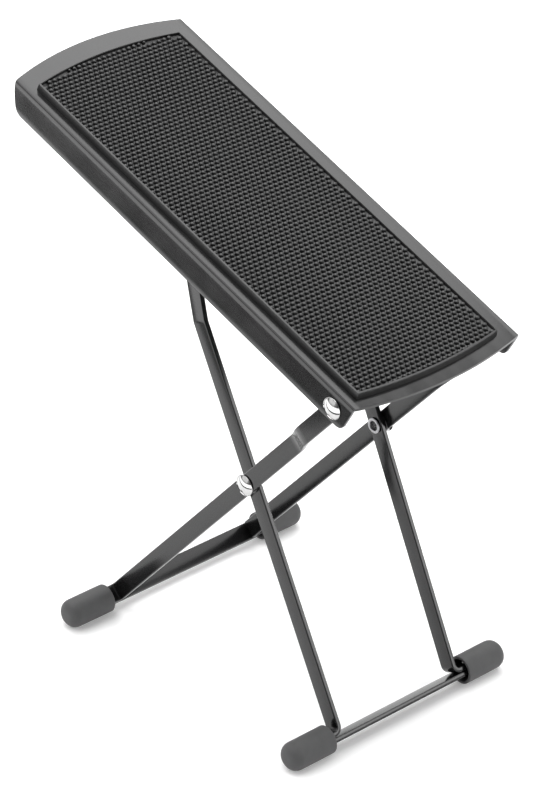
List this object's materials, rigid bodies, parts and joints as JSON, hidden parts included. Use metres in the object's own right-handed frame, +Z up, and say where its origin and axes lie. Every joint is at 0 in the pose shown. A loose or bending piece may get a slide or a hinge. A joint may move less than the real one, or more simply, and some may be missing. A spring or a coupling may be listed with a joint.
{
  "type": "guitar footrest",
  "caption": "Folding footrest for a seated guitarist: sloping flanged steel plate with studded rubber mat on crossed flat-bar legs, height set by a rod in notched racks.",
  "frame": {"origin": "on the floor under the middle of the bounding box", "axes": "+Z up, +Y across to the right-hand side of the seated player, +X towards the player and the low end of the plate"},
  "size_m": [0.2701, 0.1628, 0.2866],
  "materials": {
    "lacquered_steel": "satin black lacquer on pressed sheet and flat bar",
    "mat_rubber": "matt black rubber with fine staggered studs",
    "cap_vinyl": "soft-gloss dark grey vinyl",
    "bright_rivet": "bright nickel-plated steel",
    "zinc_steel": "dull zinc-plated steel"
  },
  "bodies": {
    "outer_frame": {"outer_leg_left": "lacquered_steel", "outer_leg_right": "lacquered_steel", "outer_crossbar": "lacquered_steel", "cap_outer_left": "cap_vinyl", "cap_outer_right": "cap_vinyl", "foot_rivet_outer_left": "zinc_steel", "foot_rivet_outer_right": "zinc_steel", "cross_rivet_left": "bright_rivet", "cross_rivet_right": "bright_rivet", "cross_washer_left": "zinc_steel", "cross_washer_right": "zinc_steel", "plate_rivet_left": "bright_rivet", "plate_rivet_right": "bright_rivet"},
    "inner_frame": {"inner_leg_left": "lacquered_steel", "inner_leg_right": "lacquered_steel", "inner_crossbar": "lacquered_steel", "ratchet_rod": "zinc_steel", "cap_inner_left": "cap_vinyl", "cap_inner_right": "cap_vinyl", "foot_rivet_inner_left": "zinc_steel", "foot_rivet_inner_right": "zinc_steel"},
    "plate": {"tread_plate": "lacquered_steel", "rubber_mat": "mat_rubber", "rack_left": "lacquered_steel", "rack_right": "lacquered_steel"}
  },
  "joints": [
    {"name": "plate_fold", "type": "hinge", "parent": "outer_frame", "child": "plate", "pos_m": [0.11426, 0, 0.2088], "axis": [0, -1, 0], "range_deg": [0, 65.5]},
    {"name": "scissor_fold", "type": "hinge", "parent": "outer_frame", "child": "inner_frame", "pos_m": [0.0473, 0, 0.12681], "axis": [0, -1, 0], "range_deg": [0, 110.63]}
  ],
  "couplings": [
    {"joint": "scissor_fold", "follows": "plate_fold", "ratio": 1.6875}
  ]
}
